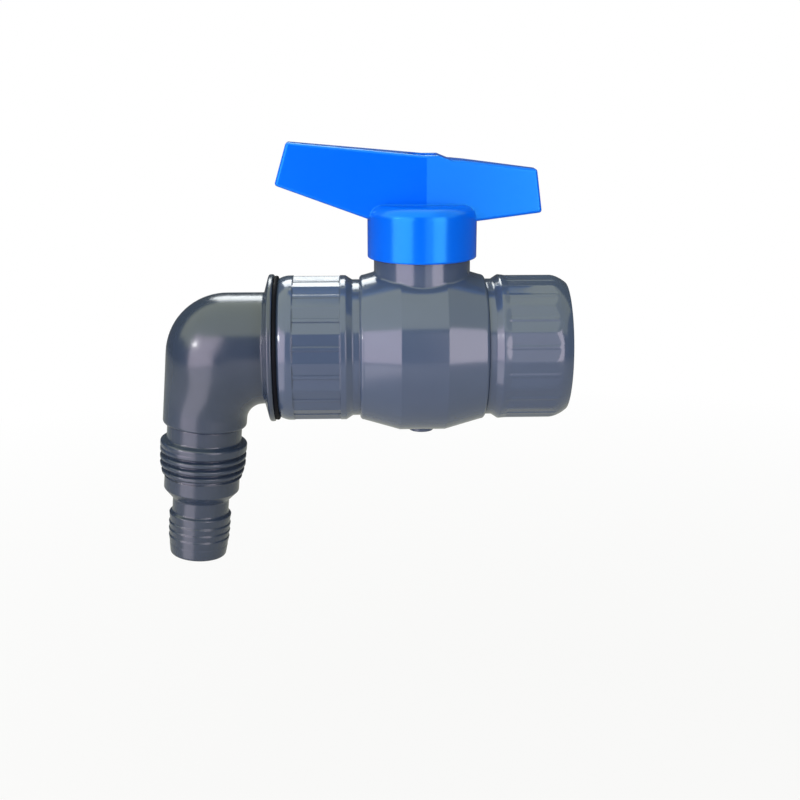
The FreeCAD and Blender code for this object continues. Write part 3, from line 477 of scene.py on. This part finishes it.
def build_outlet_nipple():
    corners = [
        (11.0, NIPPLE_BORE, 0.3),
        (11.0, NIPPLE_SPIGOT, 0.3),
        (18.6, NIPPLE_SPIGOT, 0.1),
        (18.6, 8.25, 0.1),
        (20.3, 8.25, 0.1),
        (20.3, NIPPLE_SPIGOT, 0.1),
        (24.02, NIPPLE_SPIGOT, 0.0),
        (24.02, NIPPLE_NECK, 0.2),
        (28.8, NIPPLE_NECK, 0.25),
        (29.5, 13.5, 0.7),
        (36.6, 13.35, 2.0),
        (40.4, 12.5, 0.8),
        (40.9, NIPPLE_WAIST, 0.3),
        (45.0, NIPPLE_WAIST, 0.7),
        (48.2, 8.85, 0.8),
        (52.6, 8.8, 0.5),
    ]
    for start, end, edge_radius, end_radius in BARBS:
        corners += [(start, edge_radius, 0.25), (end, end_radius, 0.2)]
    corners += [
        (63.5, 9.2, 0.25),
        (NIPPLE_END, 8.75, 1.6),
        (NIPPLE_END, NIPPLE_BORE, 0.35),
    ]
    outline = divided(rounded(corners), HOSE_PLACES, HOSE_RADII, 0.16)
    angles = even_angles(144)
    rings = turned_rings(outline, angles, LEG_TOP, DOWN_LEG, ACROSS_LEG, Y_AXIS, hose_thread)
    material = SLOT_MATERIALS["dark_grey_plastic"]
    add_piece("hose_nipple", rings, material, "valve", "outlet_nipple")


# The gasket: a flat ring with soft edges, squeezed a little proud in the middle

GASKET_FACES = (-45.0, -43.8)
GASKET_MIDDLE = -44.4
GASKET_INSIDE = 15.3
GASKET_OUTSIDE = 22.0
GASKET_PROUD = 22.2


def build_gasket():
    corners = [
        (GASKET_FACES[0], GASKET_INSIDE, 0.2),
        (GASKET_FACES[0], GASKET_OUTSIDE, 0.25),
        (GASKET_MIDDLE, GASKET_PROUD, 0.4),
        (GASKET_FACES[1], GASKET_OUTSIDE, 0.25),
        (GASKET_FACES[1], GASKET_INSIDE, 0.2),
    ]
    rings = turned_rings(rounded(corners), even_angles(128), BALL, X_AXIS, -Y_AXIS, Z_AXIS)
    material = SLOT_MATERIALS["black_rubber"]
    add_piece("gasket_ring", rings, material, "valve", "flange_gasket")


# The elbow: spigot, flange and arm turned about the arm's axis, then a bend that narrows into the leg

ARM_RADIUS = 17.1
LEG_RADIUS = 13.0
INNER_BEND = 5.9
OUTER_BEND = 19.0
BEND_TURN = math.radians(85.0)
BEND_STEPS = 40
NARROWING = (30, 80)
ELBOW_SPOKES = 112

ELBOW_SPIGOT = 15.1
FLANGE_RADIUS = 22.6
FLANGE_FACE = -45.02
LEG_END = 24.0

# The water way inside: it bends about a corner and narrows to the nipple's socket
WAY_BEND = 55.2
WAY_END = 10.56
WAY_INNER_STEP = 4.21
WAY_BULGE = 2.5
LEG_BORE = 7.05


def elbow_ring(centre, across, half_height, half_width):
    return [
        centre + across * (half_height * math.cos(angle)) + Y_AXIS * (half_width * math.sin(angle))
        for angle in even_angles(ELBOW_SPOKES)
    ]


def bend_centre():
    """The point that the bend's sections turn about, and the distance down the leg where they end."""
    drop = ARM_RADIUS + INNER_BEND
    aside = (LEG_RADIUS + INNER_BEND - drop * math.sin(LEAN)) / math.cos(LEAN)
    return LEG_TOP + Vector((aside, 0, -drop)), drop * math.cos(LEAN) - aside * math.sin(LEAN)


def outer_side(angle):
    """Distance from the bend's centre to its outer side: arm's top, round corner, then leg's side."""
    over_arm = INNER_BEND + 2 * ARM_RADIUS
    over_leg = INNER_BEND + 2 * LEG_RADIUS
    high = over_arm - OUTER_BEND
    wide = (over_leg - OUTER_BEND - high * math.cos(BEND_TURN)) / math.sin(BEND_TURN)
    across = high * math.sin(angle) - wide * math.cos(angle)
    along = high * math.cos(angle) + wide * math.sin(angle)
    leg_run = math.sqrt(high**2 + wide**2 - (over_leg - OUTER_BEND) ** 2)
    if angle < math.atan2(wide, over_arm):
        return over_arm / math.cos(angle)
    if angle > BEND_TURN - math.atan2(leg_run, over_leg):
        return over_leg / math.cos(BEND_TURN - angle)
    return along + math.sqrt(OUTER_BEND**2 - across**2)


def bend_direction(angle):
    return Vector((-math.sin(angle), 0, math.cos(angle)))


def bend_rings(centre):
    """Sections of the bend's outside, from the arm to the leg."""
    rings = []
    for step in range(1, BEND_STEPS):
        angle = BEND_TURN * step / BEND_STEPS
        half_height = (outer_side(angle) - INNER_BEND) / 2
        width_left = 1 - ramp(math.degrees(angle), *NARROWING)
        half_width = min(LEG_RADIUS + (ARM_RADIUS - LEG_RADIUS) * width_left, half_height)
        middle = centre + bend_direction(angle) * (INNER_BEND + half_height)
        rings.append(elbow_ring(middle, bend_direction(angle), half_height, half_width))
    return rings


def water_way_rings():
    """Sections of the water way's bend, from the leg back to the arm."""
    corner = BALL + Vector((-WAY_BEND, 0, -WATER_WAY))
    rings = []
    for step in range(BEND_STEPS - 1, 0, -1):
        share = step / BEND_STEPS
        narrowed = ramp(share, 0, 1)
        near = WAY_INNER_STEP * narrowed
        far = 2 * WATER_WAY - (2 * WATER_WAY - WAY_INNER_STEP - 2 * LEG_BORE) * narrowed
        far += WAY_BULGE * math.sin(math.pi * share)
        half_width = WATER_WAY - (WATER_WAY - LEG_BORE) * narrowed
        across = bend_direction(BEND_TURN * share)
        rings.append(elbow_ring(corner + across * ((far + near) / 2), across, (far - near) / 2, half_width))
    return rings


def build_elbow():
    centre, bend_end = bend_centre()
    arm_corners = [
        (-40.0, WATER_WAY, 0.0),
        (-27.8, WATER_WAY, 0.3),
        (-27.8, ELBOW_SPIGOT, 0.6),
        (FLANGE_FACE, ELBOW_SPIGOT, 0.0),
        (FLANGE_FACE, FLANGE_RADIUS, 0.55),
        (-46.6, FLANGE_RADIUS, 0.7),
        (-48.1, 17.15, 0.9),
        (centre.x - BALL_X, ARM_RADIUS, 0.0),
    ]
    leg_corners = [
        (bend_end, LEG_RADIUS, 0.0),
        (LEG_END, LEG_RADIUS, 1.0),
        (LEG_END, 9.85, 0.3),
        (11.0, 9.85, 0.1),
        (11.0, LEG_BORE, 0.1),
        (WAY_END, LEG_BORE, 0.0),
    ]
    leg_across = bend_direction(BEND_TURN)
    rings = []
    for along, radius in rounded(arm_corners):
        rings.append(elbow_ring(BALL + X_AXIS * along, Z_AXIS, radius, radius))
    rings += bend_rings(centre)
    for along, radius in rounded(leg_corners):
        rings.append(elbow_ring(LEG_TOP + DOWN_LEG * along, leg_across, radius, radius))
    rings += water_way_rings()
    rings.append(elbow_ring(BALL - X_AXIS * WAY_BEND, Z_AXIS, WATER_WAY, WATER_WAY))
    material = SLOT_MATERIALS["dark_grey_plastic"]
    add_piece("reducing_elbow", rings, material, "valve", "elbow")


build_inlet_end()
build_outlet_nipple()
build_gasket()
build_elbow()


# The studio: a dim tent, soft boxes, a pool of light on the table and a small aimed lamp

FLOOR_Z = -0.16
MIDDLE_X = BALL_X * MM
MIDDLE = Vector((MIDDLE_X, 0, 0))
PATCH_STEPS = 6


def glow(name, strength, colour):
    material = bpy.data.materials.new(name)
    graph = Nodes(material)
    light = graph.add("Emission", {"Color": (*colour, 1.0), "Strength": strength})
    graph.add("OutputMaterial", {"Surface": light.outputs["Emission"]})
    return material


def stage_mesh(name, points, faces, strength, colour):
    """A glowing part of the studio, which lights the tap and which the camera doesn't see."""
    mesh = bpy.data.meshes.new(name)
    mesh.from_pydata(points, [], faces)
    mesh.materials.append(glow(f"{name}_light", strength, colour))
    item = bpy.data.objects.new(name, mesh)
    bpy.context.scene.collection.objects.link(item)
    item.visible_camera = False
    return item


def glowing_patch(name, place, strength, colour):
    """A grid of faces. place(across, up) gives a point for shares from 0 to 1."""
    points = []
    for column in range(PATCH_STEPS + 1):
        for row in range(PATCH_STEPS + 1):
            points.append(place(column / PATCH_STEPS, row / PATCH_STEPS))
    faces = []
    for column in range(PATCH_STEPS):
        for row in range(PATCH_STEPS):
            here = column * (PATCH_STEPS + 1) + row
            beside = here + PATCH_STEPS + 1
            faces.append((here, beside, beside + 1, here + 1))
    return stage_mesh(name, points, faces, strength, colour)


def direction(azimuth, elevation):
    """Azimuth 0 is in front and turns to the right. Both angles are in degrees."""
    side = math.radians(azimuth)
    rise = math.radians(elevation)
    return Vector((math.sin(side) * math.cos(rise), -math.cos(side) * math.cos(rise), math.sin(rise)))


def over_direction(sideways, upward):
    """From the front over the top: upward is 0 in front, 90 overhead and 180 behind."""
    side = math.radians(sideways)
    rise = math.radians(upward)
    return Vector((math.sin(side), -math.cos(side) * math.cos(rise), math.cos(side) * math.sin(rise)))


def soft_box(name, sides, rises, distance, strength, colour, aim=direction):
    """A glowing patch that fills the given range of directions, seen from the middle of the tap."""
    def place(across, up):
        side = sides[0] + (sides[1] - sides[0]) * across
        rise = rises[0] + (rises[1] - rises[0]) * up
        return MIDDLE + aim(side, rise) * distance

    return glowing_patch(name, place, strength, colour)


TENT_SPOKES = 48
TENT_OUTLINE = ((1.5, FLOOR_Z + 0.001), (1.5, 1.0), (1.05, 1.4), (0.02, 1.4))


def build_tent():
    """The dim room round the soft boxes: an open wall with a ceiling over it."""
    points = []
    for reach, height in TENT_OUTLINE:
        for turn in even_angles(TENT_SPOKES):
            points.append((MIDDLE_X + reach * math.cos(turn), reach * math.sin(turn), height))
    faces = []
    for ring in range(len(TENT_OUTLINE) - 1):
        for spoke in range(TENT_SPOKES):
            here = ring * TENT_SPOKES + spoke
            beside = ring * TENT_SPOKES + (spoke + 1) % TENT_SPOKES
            faces.append((here, beside, beside + TENT_SPOKES, here + TENT_SPOKES))
    stage_mesh("tent", points, faces, 0.09, (0.95, 0.98, 1.0))


OVERHEAD_RISES = (36, 122)
OVERHEAD_COLOUR = (0.96, 1.0, 0.72)


def build_soft_boxes():
    soft_box("left_box", (-66, -22), (-11, 32), 0.8, 3.4, (1.0, 0.87, 1.0))
    soft_box("right_box", (21, 48), (-11, 32), 0.8, 3.7, (1.0, 0.9, 1.0))
    soft_box("right_fill", (5, 20), (-11, 31), 0.82, 1.4, (1.0, 0.95, 1.0))
    soft_box("back_box", (173, 204), (32, 53), 1.0, 7.0, (0.96, 1.0, 1.0))
    soft_box("overhead_left", (-72, 18), OVERHEAD_RISES, 1.0, 1.5, OVERHEAD_COLOUR, over_direction)
    soft_box("overhead_right", (18, 60), OVERHEAD_RISES, 1.0, 0.9, OVERHEAD_COLOUR, over_direction)
    key_panel = soft_box("key_panel", (-66, -24), (5, 40), 1.1, 3.3, (1.0, 1.0, 1.0))
    key_panel.visible_glossy = False


POOL_X = -0.115
POOL_TURNS = (-63, -19)
POOL_REACHES = (0.11, 0.61)


def build_pool():
    """The left box's light on the table, which the leg mirrors below the box itself."""
    def place(across, up):
        turn = math.radians(POOL_TURNS[0] + (POOL_TURNS[1] - POOL_TURNS[0]) * across)
        reach = POOL_REACHES[0] + (POOL_REACHES[1] - POOL_REACHES[0]) * up
        return (POOL_X + reach * math.sin(turn), -reach * math.cos(turn), FLOOR_Z + 0.002)

    glowing_patch("table_pool", place, 2.1, (1.0, 0.93, 1.0))


LAMP_TARGET = (LEG_TOP + Vector((-5.0, -13.0, 4.0))) * MM
LAMP_DIRECTION = direction(-57, 20)
LAMP_DISTANCE = 0.3


def build_elbow_lamp():
    """A small lamp that is aimed at the elbow's bend and puts the bright spot there."""
    lamp = bpy.data.lights.new("elbow_lamp", "SPOT")
    lamp.energy = 4.0
    lamp.shadow_soft_size = 0.058
    lamp.spot_size = math.radians(8)
    lamp.spot_blend = 0.4
    holder = bpy.data.objects.new("elbow_lamp", lamp)
    holder.location = LAMP_TARGET + LAMP_DIRECTION * LAMP_DISTANCE
    holder.rotation_euler = LAMP_DIRECTION.to_track_quat("Z", "Y").to_euler()
    bpy.context.scene.collection.objects.link(holder)


def build_world():
    """A dim blue room for the light, and plain white where the camera or a mirror sees the backdrop."""
    world = bpy.data.worlds.new("studio")
    bpy.context.scene.world = world
    graph = Nodes(world)
    path = graph.add("LightPath").outputs
    seen = path["Is Camera Ray"]
    for ray in ("Is Glossy Ray", "Is Transmission Ray"):
        seen = graph.add("Math", {0: seen, 1: path[ray]}, operation="MAXIMUM").outputs["Value"]
    room = graph.add("Background", {"Color": (0.92, 0.96, 1.0, 1.0), "Strength": 0.45})
    backdrop = graph.add("Background", {"Color": (1.0, 1.0, 1.0, 1.0), "Strength": 1.0})
    mix = graph.add(
        "MixShader", {0: seen, 1: room.outputs["Background"], 2: backdrop.outputs["Background"]}
    )
    graph.add("OutputWorld", {"Surface": mix.outputs["Shader"]})


FLOOR_SIZE = 8.0
FLOOR_BACK = 1.5
SHADOW_RANGE = (0.2, 0.6)
PLAIN_WHITE_BY_TAP = 0.88


def build_floor():
    """Pale paper that keeps the tap's shadow and fades to plain white away from it."""
    bpy.ops.mesh.primitive_plane_add(size=FLOOR_SIZE, location=(MIDDLE_X, FLOOR_BACK, FLOOR_Z))
    floor = bpy.context.object
    floor.name = "floor"
    material = bpy.data.materials.new("floor_paper")
    graph = Nodes(material)
    place = graph.add("NewGeometry").outputs["Position"]
    away = graph.add("VectorMath", {0: place}, operation="LENGTH")
    fade = graph.add(
        "MapRange",
        {
            "Value": away.outputs["Value"],
            "From Min": SHADOW_RANGE[0],
            "From Max": SHADOW_RANGE[1],
            "To Min": PLAIN_WHITE_BY_TAP,
            "To Max": 1.0,
        },
    )
    seen = graph.add("LightPath").outputs["Is Camera Ray"]
    share = graph.add("Math", {0: seen, 1: fade.outputs["Result"]}, operation="MULTIPLY")
    paper = graph.add("BsdfDiffuse", {"Color": (0.5, 0.5, 0.5, 1.0)})
    lit = graph.add("Emission", {"Color": (1.0, 1.0, 1.0, 1.0), "Strength": 1.0})
    mix = graph.add(
        "MixShader", {0: share.outputs["Value"], 1: paper.outputs["BSDF"], 2: lit.outputs["Emission"]}
    )
    graph.add("OutputMaterial", {"Surface": mix.outputs["Shader"]})
    floor.data.materials.append(material)


CAMERA_PLACE = Vector((-64.87, -392.25, 87.59))
CAMERA_YAW = 0.0357
CAMERA_PITCH = 0.2604


def build_camera():
    """The photograph's view: 14.9 degrees down, from in front and a little to the left."""
    camera = bpy.data.cameras.new("camera")
    camera.lens = 58.5
    camera.sensor_width = 36.0
    camera.clip_start = 0.01
    holder = bpy.data.objects.new("camera", camera)
    holder.location = CAMERA_PLACE * MM
    level = math.cos(CAMERA_PITCH)
    forward = Vector(
        (math.sin(CAMERA_YAW) * level, math.cos(CAMERA_YAW) * level, -math.sin(CAMERA_PITCH))
    )
    holder.rotation_euler = forward.to_track_quat("-Z", "Y").to_euler()
    bpy.context.scene.collection.objects.link(holder)
    bpy.context.scene.camera = holder


build_tent()
build_soft_boxes()
build_pool()
build_elbow_lamp()
build_world()
build_floor()
build_camera()
bpy.context.scene.view_settings.view_transform = "Standard"
